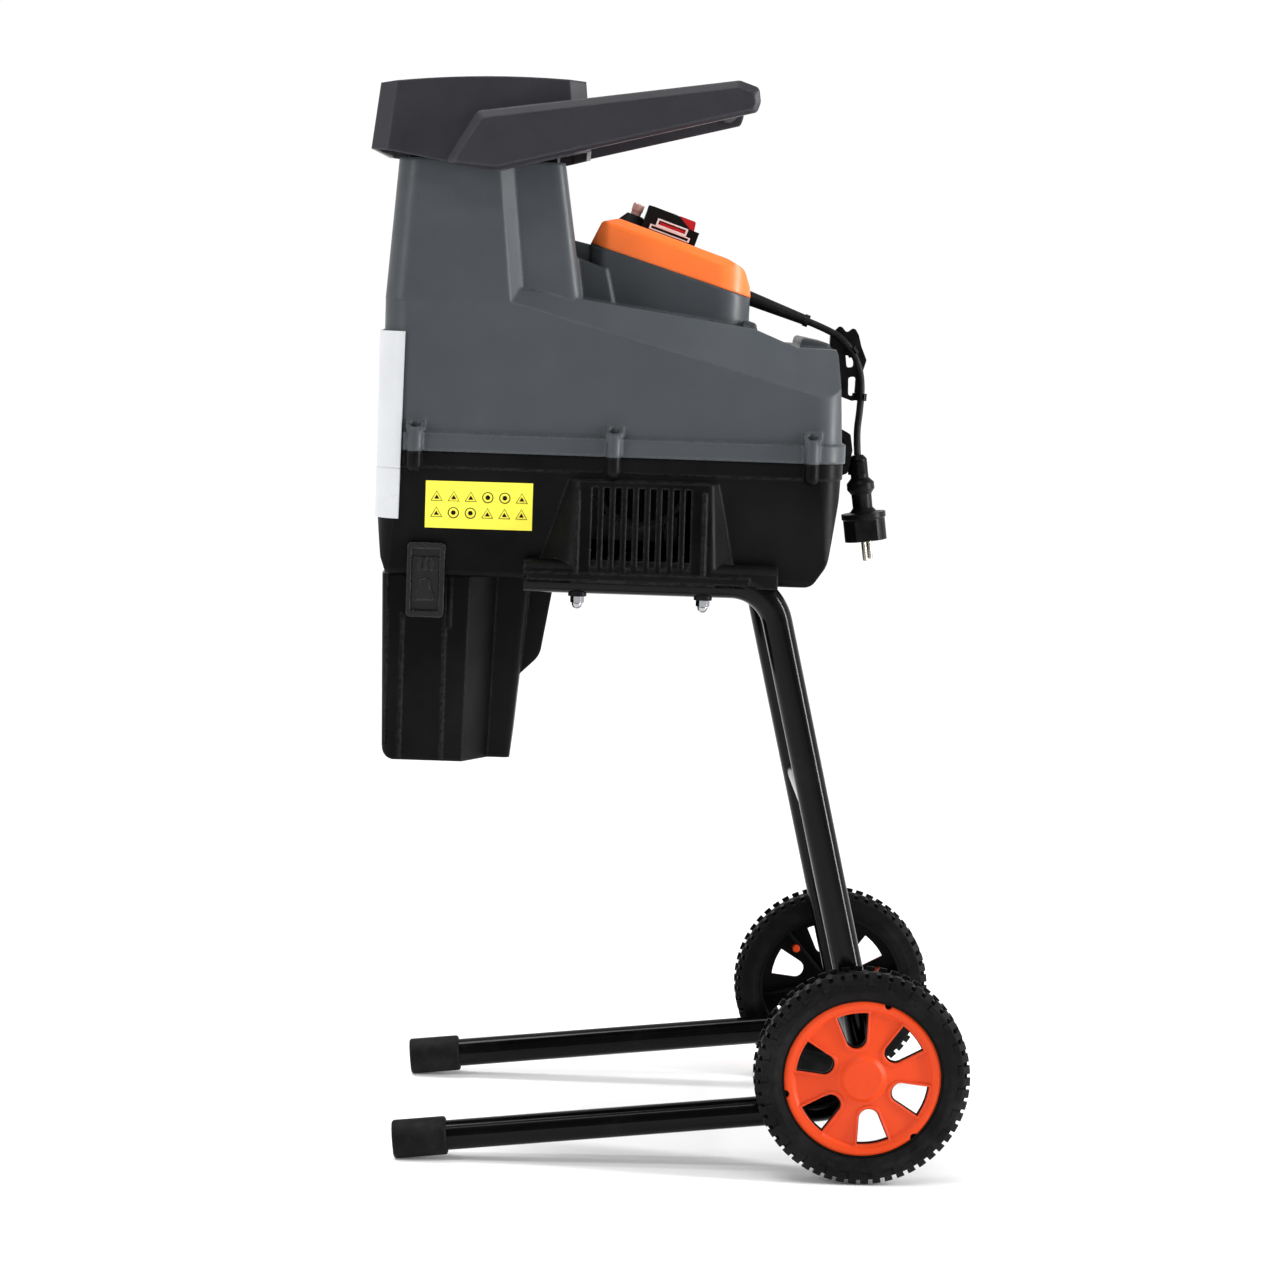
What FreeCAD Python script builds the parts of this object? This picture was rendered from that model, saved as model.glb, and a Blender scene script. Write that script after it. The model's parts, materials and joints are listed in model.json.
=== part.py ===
import FreeCAD, Part
import math
import os

# Electric garden shredder, in millimetres.
# X runs from the feed front (-X) to the wheels (+X), Z is up, the floor is Z = 0.
# The origin is on the floor, under the middle of the body, hood and wheels together.

V = FreeCAD.Vector

# ---------------------------------------------------------------- driving sizes
WALL = 3.0
FLOOR_Z = 546.0
SEAM_Z = 662.0
FRONT_X = -275.0
REAR_X = 154.0
HALF_Y = 164.0
PLAN_R = 26.0

TOWER_FOOT_Z = 800.0
TOWER_TOP_Z = 930.0
FUNNEL_TOP_Z = 990.0
FUNNEL_LOW_Z = 702.0

TUBE_R = 14.0
TUBE_WALL = 1.5
TUBE_Y = 176.0
TOP_RUN_Z = 550.0
TOP_RUN_X = (-138.0, 89.3)
LEG_FOOT = (207.2, 66.0)
UPPER_BEND_R = 45.0
LOWER_BEND_R = 48.0
FOOT_END = (-238.7, 17.0)
CAP_R = 18.0
CAP_LENGTH = 51.0
CAP_END = 5.0
BOLT_X = (-88.0, 28.0)
HEAD_R = 5.4
HEAD_Z = 568.0

AXLE_X = 190.0
AXLE_Z = 100.0
AXLE_R = 6.0
AXLE_HALF = 230.0
WHEEL_Y = 212.5
WHEEL_HALF_W = 21.0
TYRE_R = 100.0
CROWN_R = 97.0
RIM_R = 75.0
HUB_R = 15.0
WINDOW_COUNT = 6
WINDOW_PHASE = 41.0
PEG_COUNT = 3
PEG_PHASE = 15.5
PEG_PATH_R = 52.0
NOTCH_PHASE = 73.0
TREAD_COUNT = 54

DRUM_X = -190.0
MID_X = -104.0
MOTOR_X = -30.0
DRIVE_Z = 640.0
GEAR_MODULE = 2.0
MOTOR_TEETH = 14
MID_BIG_TEETH = 60
MID_SMALL_TEETH = 20
DRUM_TEETH = 66
CASE_Y = (58.0, 98.0)
RUN_GAP = 0.05

PANEL_TILT = 18.5
PANEL_MID = (-6.0, 864.4)
PANEL_EDGE_R = 12.0
RESET_U = -43.0
COVER_HINGE = (-30.0, 20.8)

CORD_Y = -8.0
CORD_R = 3.4
GLAND_START = (60.0, 813.5)
CORD_POINTS = [(128.5, 789.5), (147.0, 783.0), (164.0, 771.0), (175.0, 754.0),
               (180.0, 733.0), (179.0, 706.0), (176.6, 684.0), (178.6, 663.4)]
PLUG_TILT = 8.0
BOOT_R = 8.6
PLUG_FACE = -83.0
PIN_R = 2.4
PIN_ROOT_R = 1.9
PIN_LENGTH = 19.0

BOSS_X = (-242.0, -59.0, 124.0)
BOSS_Y = 170.5


# ---------------------------------------------------------------- helpers
def outline(points, place):
    """Closed wire through (u, v) or (u, v, corner radius) points, placed in space."""
    count = len(points)
    starts = []
    ends = []
    middles = []
    for i in range(count):
        u, v = points[i][0], points[i][1]
        radius = points[i][2] if len(points[i]) > 2 else 0.0
        here = V(u, v, 0)
        if radius == 0.0:
            starts.append(here)
            ends.append(here)
            middles.append(None)
            continue
        before = V(points[i - 1][0], points[i - 1][1], 0) - here
        after = V(points[(i + 1) % count][0], points[(i + 1) % count][1], 0) - here
        before.normalize()
        after.normalize()
        half = before.getAngle(after) / 2.0
        reach = radius / math.tan(half)
        bisector = before + after
        bisector.normalize()
        centre = here + bisector * (radius / math.sin(half))
        starts.append(here + before * reach)
        ends.append(here + after * reach)
        middles.append(centre - bisector * radius)
    edges = []
    for i in range(count):
        if middles[i] is not None:
            edges.append(Part.Arc(place(starts[i]), place(middles[i]), place(ends[i])).toShape())
        following = starts[(i + 1) % count]
        if (following - ends[i]).Length > 1e-6:
            edges.append(Part.LineSegment(place(ends[i]), place(following)).toShape())
    return Part.Wire(edges)


def wire_xz(points, y):
    return outline(points, lambda p: V(p.x, y, p.y))


def wire_xy(points, z):
    return outline(points, lambda p: V(p.x, p.y, z))


def wire_yz(points, x):
    return outline(points, lambda p: V(x, p.x, p.y))


def prism_xz(points, y0, y1):
    return Part.Face(wire_xz(points, y0)).extrude(V(0, y1 - y0, 0))


def prism_xy(points, z0, z1):
    return Part.Face(wire_xy(points, z0)).extrude(V(0, 0, z1 - z0))


def prism_yz(points, x0, x1):
    return Part.Face(wire_yz(points, x0)).extrude(V(x1 - x0, 0, 0))


def box(x0, x1, y0, y1, z0, z1):
    return Part.makeBox(x1 - x0, y1 - y0, z1 - z0, V(x0, y0, z0))


def rod(radius, start, end):
    start = V(*start)
    run = V(*end) - start
    return Part.makeCylinder(radius, run.Length, start, run)


def loft(wires):
    return Part.makeLoft(wires, True, True)


def mirrored(shape):
    return shape.mirror(V(0, 0, 0), V(0, 1, 0))


def both_sides(shape):
    return shape.fuse(mirrored(shape))


def plan_rectangle(x0, x1, half, front_r, rear_r):
    return [(x0, -half, front_r), (x1, -half, rear_r), (x1, half, rear_r), (x0, half, front_r)]


def mirror_plan(points):
    """Closed plan outline from the -Y half, listed from front to rear."""
    return points + [(p[0], -p[1]) + tuple(p[2:]) for p in reversed(points)]


def one_body(shape):
    return shape.removeSplitter()


def group(shapes):
    return Part.makeCompound(shapes)


# ---------------------------------------------------------------- tube frame
def frame_path(y):
    """Centre line of one bent side tube, from under the body to the foot."""
    start = V(TOP_RUN_X[0], y, TOP_RUN_Z)
    knee = V(TOP_RUN_X[1], y, TOP_RUN_Z)
    heel = V(LEG_FOOT[0], y, LEG_FOOT[1])
    toe = V(FOOT_END[0], y, FOOT_END[1])
    edges = []
    last = start
    for before, corner, after, radius in ((start, knee, heel, UPPER_BEND_R), (knee, heel, toe, LOWER_BEND_R)):
        back = before - corner
        ahead = after - corner
        back.normalize()
        ahead.normalize()
        half = back.getAngle(ahead) / 2.0
        reach = radius / math.tan(half)
        bisector = back + ahead
        bisector.normalize()
        arc_start = corner + back * reach
        arc_end = corner + ahead * reach
        arc_mid = corner + bisector * (radius / math.sin(half) - radius)
        edges.append(Part.LineSegment(last, arc_start).toShape())
        edges.append(Part.Arc(arc_start, arc_mid, arc_end).toShape())
        last = arc_end
    edges.append(Part.LineSegment(last, toe).toShape())
    return Part.Wire(edges)


def swept(path, radius):
    first = path.Edges[0]
    tangent = first.tangentAt(first.FirstParameter)
    ring = Part.Wire(Part.makeCircle(radius, first.valueAt(first.FirstParameter), tangent))
    return path.makePipeShell([ring], True, False)


def foot_direction():
    run = V(FOOT_END[0] - LEG_FOOT[0], 0, FOOT_END[1] - LEG_FOOT[1])
    run.normalize()
    return run


def frame_tube(y):
    path = frame_path(y)
    tube = swept(path, TUBE_R).cut(swept(path, TUBE_R - TUBE_WALL))
    tube = tube.cut(rod(AXLE_R + 0.1, (AXLE_X, y - 20, AXLE_Z), (AXLE_X, y + 20, AXLE_Z)))
    for x in BOLT_X:
        tube = tube.cut(rod(3.1, (x, y, TOP_RUN_Z - 20), (x, y, TOP_RUN_Z + 20)))
    return tube


def foot_cap(y):
    ahead = foot_direction()
    tip = V(FOOT_END[0], y, FOOT_END[1])
    outer_end = tip + ahead * CAP_END
    cap = Part.makeCylinder(CAP_R, CAP_LENGTH, outer_end, ahead * -1)
    cap = cap.makeFillet(3.0, [e for e in cap.Edges if abs(e.Length - 2 * math.pi * CAP_R) < 0.1])
    cap = cap.cut(Part.makeCylinder(TUBE_R + 0.02, CAP_LENGTH, tip, ahead * -1))
    return cap.cut(box(-400, 0, -300, 300, -40, 0))


def cross_brace():
    z = 330.0
    slope = (LEG_FOOT[0] - TOP_RUN_X[1]) / (LEG_FOOT[1] - TOP_RUN_Z)
    x = TOP_RUN_X[1] + slope * (z - TOP_RUN_Z)
    brace = rod(10.0, (x, -TUBE_Y, z), (x, TUBE_Y, z))
    brace = brace.cut(rod(8.5, (x, -TUBE_Y, z), (x, TUBE_Y, z)))
    for y in (-TUBE_Y, TUBE_Y):
        brace = brace.cut(swept(frame_path(y), TUBE_R))
    return max(brace.Solids, key=lambda s: s.Volume)


def tube_bolts():
    bolts = []
    for x in BOLT_X:
        for y in (-TUBE_Y, TUBE_Y):
            shank = rod(3.0, (x, y, 526), (x, y, 568))
            head = rod(HEAD_R, (x, y, HEAD_Z + 0.02), (x, y, 571.5))
            bolts.append(shank.fuse(head))
    return group(bolts)


def tube_washers():
    washers = []
    for x in BOLT_X:
        for y in (-TUBE_Y, TUBE_Y):
            saddle = rod(8.5, (x, y, 533.5), (x, y, 541))
            saddle = saddle.cut(rod(TUBE_R, (x - 20, y, TOP_RUN_Z), (x + 20, y, TOP_RUN_Z)))
            washers.append(saddle.cut(rod(3.1, (x, y, 530), (x, y, 545))))
    return group(washers)


def acorn_nuts():
    nuts = []
    for x in BOLT_X:
        for y in (-TUBE_Y, TUBE_Y):
            corners = []
            for i in range(6):
                turn = math.radians(60 * i)
                corners.append((x + 6.4 * math.cos(turn), y + 6.4 * math.sin(turn)))
            nut = prism_xy(corners, 527.5, 533.5)
            dome = Part.makeSphere(4.9, V(x, y, 526.4)).cut(box(x - 9, x + 9, y - 9, y + 9, 527.5, 540))
            nut = nut.fuse(dome)
            nuts.append(nut.cut(rod(3.0, (x, y, 526), (x, y, 540))))
    return group(nuts)


# ---------------------------------------------------------------- lower housing
def tub_block(inset, top):
    """Solid tub shape, drawn in by the inset on every face but the open top."""
    side = [(FRONT_X, top), (-276, 600, 40), (-272, 562, 12), (-266, FLOOR_Z, 8),
            (128, FLOOR_Z, 14), (143, 568, 30), (REAR_X - 2, 628, 60), (REAR_X, top)]
    end = [(-HALF_Y, top), (-HALF_Y + 4, FLOOR_Z, 6), (HALF_Y - 4, FLOOR_Z, 6), (HALF_Y, top)]
    plan = plan_rectangle(FRONT_X - 1, REAR_X, HALF_Y, PLAN_R, PLAN_R)
    faces = []
    for wire in (wire_xz(side, -300), wire_yz(end, -400), wire_xy(plan, 300)):
        if inset != 0:
            wire = wire.makeOffset2D(-inset)
        faces.append(Part.Face(wire))
    block = faces[0].extrude(V(0, 600, 0))
    block = block.common(faces[1].extrude(V(800, 0, 0)))
    return block.common(faces[2].extrude(V(0, 0, 600)))


def vent_bump(inset):
    """Bulge on the -Y wall that carries the cooling slots."""
    low = [(-140, -150), (-96 + inset, -193 + inset, 34 - inset),
           (37 - inset, -193 + inset, 9 - inset), (66, -150)]
    high = [(-112, -150), (-91 + inset, -172 + inset, 18 - inset),
            (33 - inset, -172 + inset, 8 - inset), (50, -150)]
    return loft([wire_xy(low, 547 + inset), wire_xy(high, 640 - inset)])


def seam_band(proud, low, high):
    """Flat band that runs round the body beside the seam, clear of the silver panel."""
    band = prism_xy(plan_rectangle(-300, REAR_X + proud - 1, HALF_Y + proud, 0, PLAN_R + proud), low, high)
    band = band.common(box(-253, 200, -300, 300, 600, 700))
    return band.cut(prism_xy(plan_rectangle(-320, REAR_X - 2, HALF_Y - 1.5, 0, PLAN_R - 1.5), 600, 700))


def lower_boss(x):
    column = rod(7.0, (x, -BOSS_Y, 649), (x, -BOSS_Y, SEAM_Z))
    return column.fuse(Part.makeSphere(7.0, V(x, -BOSS_Y, 649)))


def upper_boss(x):
    """Screw column that flares into a cup with its mouth sloping outwards."""
    column = rod(7.0, (x, -BOSS_Y, SEAM_Z), (x, -BOSS_Y, 687))
    back = box(x - 7, x + 7, -BOSS_Y, -160.5, SEAM_Z, 687)
    low = [(x - 7, -160.5), (x - 7, -174), (x + 7, -174), (x + 7, -160.5)]
    high = [(x - 9, -160.5), (x - 9, -177.5), (x + 9, -177.5), (x + 9, -160.5)]
    boss = column.fuse([back, loft([wire_xy(low, 675), wire_xy(high, 692)])])
    slope = prism_yz([(-190, 676), (-159, 694), (-159, 700), (-190, 700)], x - 20, x + 20)
    return boss.cut(slope)


def vent_slots():
    slots = []
    for i in range(9):
        x = -74.5 + 10.75 * i
        slots.append(box(x - 2.6, x + 2.6, -200, -158, 568, 634))
        slots.append(box(x - 2.6, x + 2.6, -200, -186.0, 562, 568.5))
        slots.append(box(x - 2.6, x + 2.6, -200, -189.2, 556.5, 562.5))
    return group(slots)


def lower_housing():
    ledge = box(-135, 70, -195, -150, 549, 556)
    ribs = [box(x - 1.5, x + 1.5, -196, -160, 553, 632) for x in (-90, 27)]
    rib_trim = loft([wire_xy([(-150, -100), (-150, -195), (90, -195), (90, -100)], 547),
                     wire_xy([(-150, -100), (-150, -174), (90, -174), (90, -100)], 640)])
    side = vent_bump(0).fuse([ledge] + [rib.common(rib_trim) for rib in ribs])
    boss = group([lower_boss(x) for x in BOSS_X])
    shell = tub_block(0, SEAM_Z).fuse([both_sides(side), boss, mirrored(boss), seam_band(2.0, 647, SEAM_Z)])
    hollow = tub_block(WALL, SEAM_Z + 5)
    hollow = hollow.fuse(both_sides(vent_bump(WALL).cut(box(-140, 80, -200, -140, 540, 568))))
    shell = shell.cut(hollow)
    shell = shell.cut(vent_slots())
    for y in (-TUBE_Y, TUBE_Y):
        trough = rod(TUBE_R + 3, (TOP_RUN_X[0], y, TOP_RUN_Z), (96, y, TOP_RUN_Z))
        trough = trough.common(box(-200, 100, -190, 190, FLOOR_Z, 700))
        shell = shell.fuse(trough)
    for y in (-TUBE_Y, TUBE_Y):
        shell = shell.cut(swept(frame_path(y), TUBE_R + 0.1))
        for x in BOLT_X:
            shell = shell.cut(rod(3.1, (x, y, 550), (x, y, 575)))
            shell = shell.cut(rod(HEAD_R + 0.2, (x, y, HEAD_Z), (x, y, 575)))
        for x in BOSS_X:
            bore_y = math.copysign(BOSS_Y, y)
            shell = shell.cut(rod(2.0, (x, bore_y, 648), (x, bore_y, SEAM_Z)))
    drop = prism_xy(plan_rectangle(-258, -142, 108, 6, 6), FLOOR_Z - 5, FLOOR_Z + 10)
    shell = shell.cut(drop)
    return max(one_body(shell).Solids, key=lambda s: s.Volume)


# ---------------------------------------------------------------- upper housing
def tower_section(z, t):
    """Plan outline of the feed tower at a height, drawn in by t."""
    f = (z - TOWER_FOOT_Z) / (TOWER_TOP_Z - TOWER_FOOT_Z)
    front = -274 + 9 * f + t
    wide = HALF_Y - 8 * f - t
    narrow = 148 - 5 * f - t
    ridge = -158 - 14 * f
    rear = -92 - 20 * f - t
    half = [(front, -wide, 22), (ridge - t * 0.4, -wide), (ridge + 12 - t * 0.4, -narrow),
            (rear, -narrow, 12)]
    return wire_xy(mirror_plan(half), z)


def deck_section(x, low, high, lean, t):
    """Cross-section of the motor end: upright side, then a shoulder up to the deck."""
    foot = SEAM_Z - (1 if t else 0)
    half = [(-HALF_Y + t, foot), (-HALF_Y + t, low - t * 0.4), (-HALF_Y + lean + t * 0.6, high - t)]
    return wire_yz(half + [(-y, z) for y, z in reversed(half)], x)


def upper_block(t):
    tower = loft([tower_section(TOWER_FOOT_Z, t), tower_section(TOWER_TOP_Z + (1 if t else 0), t)])
    base_z = SEAM_Z - (1 if t else 0)
    front = prism_xy(plan_rectangle(FRONT_X + 1 + t, -156, HALF_Y - t, PLAN_R - t, 0), base_z, TOWER_FOOT_Z)
    stations = [(-159, 801, 815, 12), (70, 740, 783, 36), (110, 729, 767, 40), (REAR_X + 2, 717, 766, 44)]
    motor = loft([deck_section(x, low, high, lean, t) for x, low, high, lean in stations])
    side = [(-160, base_z), (REAR_X - t, base_z), (REAR_X - 6 - t, 764, 14), (120, 800), (-90, 900),
            (-160, 900)]
    motor = motor.common(prism_xz(side, -300, 300))
    motor = motor.common(prism_xy(plan_rectangle(-400, REAR_X - t, HALF_Y - t, 0, PLAN_R - t), 600, 900))
    block = front.fuse([tower, motor])
    return one_body(block)


def pedestal(t):
    """Raised plinth under the control panel, with the step that ties it to the tower."""
    top = 1 if t else 0
    profile = [(-88 + t, 770), (-86 + t, 857.6 + top), (67 - t, 811.4 + top), (67 - t, 745)]
    plinth = prism_xz(profile, -78 + t, 78 - t)
    plan = plan_rectangle(-88 + t, 67 - t, 78 - t, 16, 34)
    return plinth.common(prism_xy(plan, 700, 900))


def upper_housing():
    step_high = prism_xz([(-112, 790), (-112, 862), (-84, 856), (-78, 790)], -66, 66)
    step_low = prism_xz([(-112, 790), (-112, 849), (-70, 834), (-60, 790)], -88, 88)
    lip = prism_xz([(112, 750), (117, 776, 4), (144, 771, 6), (149, 740)], -66, 66)
    nub = prism_xz([(60, 770), (60, 791, 4), (72, 788, 4), (76, 770)], -84, 84)
    inner = upper_block(WALL).fuse(pedestal(WALL))
    shell = upper_block(0).fuse([pedestal(0), step_high, step_low, lip, nub])
    scoop = prism_xz([(77, 800), (80, 764, 6), (112, 756, 6), (114, 800)], -64, 64)
    pan = prism_xz([(72, 790), (76, 761, 8), (113, 753, 8), (118, 790)], -67, 67)
    shell = shell.cut(inner)
    shell = shell.fuse(pan.common(upper_block(0))).cut(scoop)
    flange = seam_band(4.0, SEAM_Z, 679)
    bosses = group([upper_boss(x) for x in BOSS_X])
    shell = shell.fuse([flange, bosses, mirrored(bosses)])
    for x in BOSS_X:
        for y in (-BOSS_Y, BOSS_Y):
            shell = shell.cut(rod(2.1, (x, y, 655), (x, y, 700)))
            shell = shell.cut(rod(5.2, (x, y, 680), (x, y, 700)))
    shell = shell.cut(gland_tool(0.1))
    return max(one_body(shell).Solids, key=lambda s: s.Volume)


def housing_screws():
    screws = []
    for x in BOSS_X:
        for y in (-BOSS_Y, BOSS_Y):
            shank = rod(1.95, (x, y, 650), (x, y, 681))
            head = rod(4.2, (x, y, 680.1), (x, y, 683))
            cross = box(x - 2.6, x + 2.6, y - 0.5, y + 0.5, 681.8, 684)
            cross = cross.fuse(box(x - 0.5, x + 0.5, y - 2.6, y + 2.6, 681.8, 684))
            screws.append(shank.fuse(head).cut(cross))
    return group(screws)


def front_panel():
    outer = prism_xy(plan_rectangle(FRONT_X - 3.5, 0, HALF_Y + 3.5, PLAN_R + 2, 0), 598.5, 771)
    inner = prism_xy(plan_rectangle(FRONT_X - 1.2, 0, HALF_Y + 0.7, PLAN_R, 0), 590, 780)
    groove = prism_xy(plan_rectangle(FRONT_X - 9, 9, HALF_Y + 9, PLAN_R, 0), 644.4, 645.6)
    groove = groove.cut(prism_xy(plan_rectangle(FRONT_X - 2.7, 9, HALF_Y + 2.7, PLAN_R, 0), 640, 650))
    panel = outer.cut(inner).cut(groove)
    panel = panel.common(prism_xz([(-290, 590), (-290, 780), (-253.5, 780), (-255.5, 590)], -200, 200))
    return panel.cut(rod(7.0, (-290, 0, DRIVE_Z), (-260, 0, DRIVE_Z)))


def label_plate():
    skin = tub_block(-0.5, SEAM_Z).cut(tub_block(0, SEAM_Z))
    return skin.common(prism_xz([(-231, 591), (-231, 634.5), (-132, 635), (-132, 591)], -200, -100))


# ---------------------------------------------------------------- hood and handle
def hood_section(z, t):
    f = (z - 915.0) / 95.0
    front = -292.4 + 11 * f + t
    rear = -86 - 10 * f - t
    half = 174 - 9 * f - t
    c = 15 - 0.4 * t
    points = [(front, -half + c), (front + c, -half), (rear - c, -half), (rear, -half + c)]
    return wire_xy(points + [(p[0], -p[1]) for p in reversed(points)], z)


def handle_arm():
    edge = [(-193, 973, 8), (44, 1009, 8), (62, 1003, 6), (64, 990, 10), (61, 981, 4), (-175, 920.5, 30),
            (-221, 925, 4)]
    face = [(-188.5, 966.5, 8), (43, 1002, 6), (57, 998, 5), (59, 989, 8), (57, 983.5, 4), (-175, 923.5, 30),
            (-214, 926.5, 4)]
    body = prism_xz(edge, -168, -181)
    return body.fuse(loft([wire_xz(edge, -181), wire_xz(face, -186)]))


def hood():
    block = loft([hood_section(905, 0), hood_section(1015, 0)])
    crown = Part.Arc(V(-300, 0, 994), V(-180, 0, 1005.5), V(-60, 0, 1001)).toShape()
    lower = [V(-60, 0, 1001), V(-60, 0, 948), V(-175, 0, 919), V(-272, 0, 935), V(-300, 0, 937),
             V(-300, 0, 994)]
    edges = [crown]
    for start, end in zip(lower[:-1], lower[1:]):
        edges.append(Part.LineSegment(start, end).toShape())
    side = Part.Face(Part.Wire(edges))
    side.translate(V(0, -250, 0))
    block = block.common(side.extrude(V(0, 500, 0)))
    hollow = loft([hood_section(900, 4), hood_section(996, 4)])
    mouth = prism_xy(plan_rectangle(-265, -112, 150, 4, 4), 900, 1030)
    block = block.cut(hollow).cut(mouth)
    arm = handle_arm()
    arm = arm.cut(loft([hood_section(900, 4), hood_section(1000, 4)]))
    return max(one_body(block.fuse([arm, mirrored(arm)])).Solids, key=lambda s: s.Volume)


def handle_bar():
    bar = rod(10.0, (47, -168, 993), (47, 168, 993))
    return bar.cut(rod(8.0, (47, -168, 993), (47, 168, 993)))


def feed_funnel():
    def section(z, t):
        f = (z - FUNNEL_LOW_Z) / (FUNNEL_TOP_Z - FUNNEL_LOW_Z)
        front = -226 - 37 * f + t
        rear = -142 + 28 * f - t
        half = 52 + 96 * f - t
        return wire_xy(plan_rectangle(front, rear, half, 0, 0), z)
    outer = loft([section(FUNNEL_LOW_Z, 0), section(FUNNEL_TOP_Z, 0)])
    inner = loft([section(FUNNEL_LOW_Z - 2, 2.5), section(FUNNEL_TOP_Z + 2, 2.5)])
    return outer.cut(inner)


# ---------------------------------------------------------------- discharge chute and latch
def chute_section(z, t):
    f = (FLOOR_Z - z) / 174.0
    front = -270 + 4 * f + t
    rear = -132 - 15 * f - t
    half = [(front, -150 + t, 8), (-188 - 3 * f - t * 0.7, -150 + t), (-163 - 5 * f - t * 0.7, -113 + t),
            (rear, -113 + t, 6)]
    return wire_xy(mirror_plan(half), z)


def discharge_chute():
    outer = loft([chute_section(372, 0), chute_section(FLOOR_Z, 0)])
    toe = [(-290, 384), (-266, 384), (-256, 372), (-290, 372)]
    corner = rod(12.0, (-254, -200, 384), (-254, 200, 384))
    outer = outer.cut(prism_xz(toe, -200, 200).cut(corner))
    bulge = prism_xz([(-150, FLOOR_Z), (-109, FLOOR_Z), (-121.5, 468, 22), (-145, 445)], -96, 96)
    space = [(-160, FLOOR_Z + 1), (-112, FLOOR_Z + 1), (-124.6, 469.2, 19), (-160, 434.5)]
    bulge_in = prism_xz(space, -93, 93)
    inner = loft([chute_section(370, WALL), chute_section(FLOOR_Z + 1, WALL)])
    shell = outer.fuse(bulge).cut(inner.fuse(bulge_in))
    ribs = [box(-251, -248.5, -152, -148, 374, 510), box(-211.5, -209, -152, -148, 374, FLOOR_Z),
            box(-208, -204.5, -152, -148, 497, FLOOR_Z), box(-265, -263, -151.2, -148, 386, FLOOR_Z)]
    ribs = [rib.common(box(-268, -150, -160, -149, 300, 600)) for rib in ribs]
    mates = [mirrored(rib) for rib in ribs]
    spout = prism_xy(plan_rectangle(-257.5, -142.5, 107.5, 6, 6), FLOOR_Z - 4, FLOOR_Z + 2.9)
    spout = spout.cut(prism_xy(plan_rectangle(-254.5, -145.5, 104.5, 3, 3), FLOOR_Z - 9, FLOOR_Z + 9))
    roof = prism_xy(plan_rectangle(-268, -134, 112, 6, 6), FLOOR_Z - 3, FLOOR_Z)
    roof = roof.cut(prism_xy(plan_rectangle(-255, -145, 105, 3, 3), FLOOR_Z - 9, FLOOR_Z + 9))
    shell = shell.fuse(ribs + mates + [spout, roof])
    return max(one_body(shell).Solids, key=lambda s: s.Volume)


def latch_bezel(chute):
    bezel = prism_xz([(-246, 508.5, 4), (-246, 577.5, 4), (-211.2, 577.5, 4), (-211.2, 508.5, 4)], -171, -149)
    pocket = box(-242, -216, -180, -164, 514, 572)
    bezel = bezel.cut(pocket).cut(tub_block(0, SEAM_Z)).cut(chute)
    return max(bezel.Solids, key=lambda s: s.Volume)


def latch_slider():
    plate = box(-241.9, -216.1, -167, -164.1, 523, 564)
    grips = [box(x - 1.6, x + 1.6, -170, -166, 552, 563) for x in (-235, -229, -223)]
    key = prism_xz([(-233.5, 544, 3), (-224.5, 544, 3), (-224.5, 536), (-220.8, 530), (-220.8, 524.5),
                    (-237.2, 524.5), (-237.2, 530), (-233.5, 536)], -166, -170)
    return plate.fuse(grips + [key])


def safety_switch():
    body = box(-252, -226, -140, -128, 556, 576)
    lever = prism_xz([(-250, 553.4), (-250, 554), (-230, 552), (-230, 551.4)], -137, -131)
    return body.fuse(lever.fuse(box(-250, -248, -137, -131, 553, 557)))


# ---------------------------------------------------------------- controls
def tilted(shape):
    """Puts a shape drawn on flat ground at the origin onto the sloping control panel."""
    shape.rotate(V(0, 0, 0), V(0, 1, 0), PANEL_TILT)
    shape.translate(V(PANEL_MID[0], 0, PANEL_MID[1]))
    return shape


def control_panel():
    side = [(-86, 857.6), (-76, 878.4, 5), (-60, 881.8, 9), (44, 847.5, 26), (60, 838, 12), (66, 822, 8),
            (67.5, 811.3)]
    block = prism_xz(side, -78, 78)
    block = block.common(prism_xy(plan_rectangle(-86, 67.5, 78, 18, 34), 780, 900))
    crown = [(-78.1, -120), (-78.1, 0.4, PANEL_EDGE_R), (78.1, 0.4, PANEL_EDGE_R), (78.1, -120)]
    arch = prism_yz(crown, -150, 150)
    block = block.common(tilted(arch))
    inner_side = [(-83, 850), (-73.6, 874.6, 3), (-60, 878.4, 7), (43, 844.2, 23), (57, 836, 9), (63, 821, 6),
                  (64.5, 800)]
    hollow = prism_xz(inner_side, -75, 75)
    hollow = hollow.common(prism_xy(plan_rectangle(-83, 64.5, 72, 13, 30), 780, 900))
    under = [(-75, -120), (-75, -2.6, PANEL_EDGE_R), (75, -2.6, PANEL_EDGE_R), (75, -120)]
    vault = prism_yz(under, -150, 150)
    hollow = hollow.common(tilted(vault))
    shell = block.cut(hollow)
    shell = shell.cut(tilted(box(-30, 19, -22, 22, -12, 12)))
    shell = shell.cut(tilted(rod(6.1, (RESET_U, 0, -12), (RESET_U, 0, 30))))
    shell = shell.cut(gland_tool(0.1))
    return max(one_body(shell).Solids, key=lambda s: s.Volume)


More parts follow.
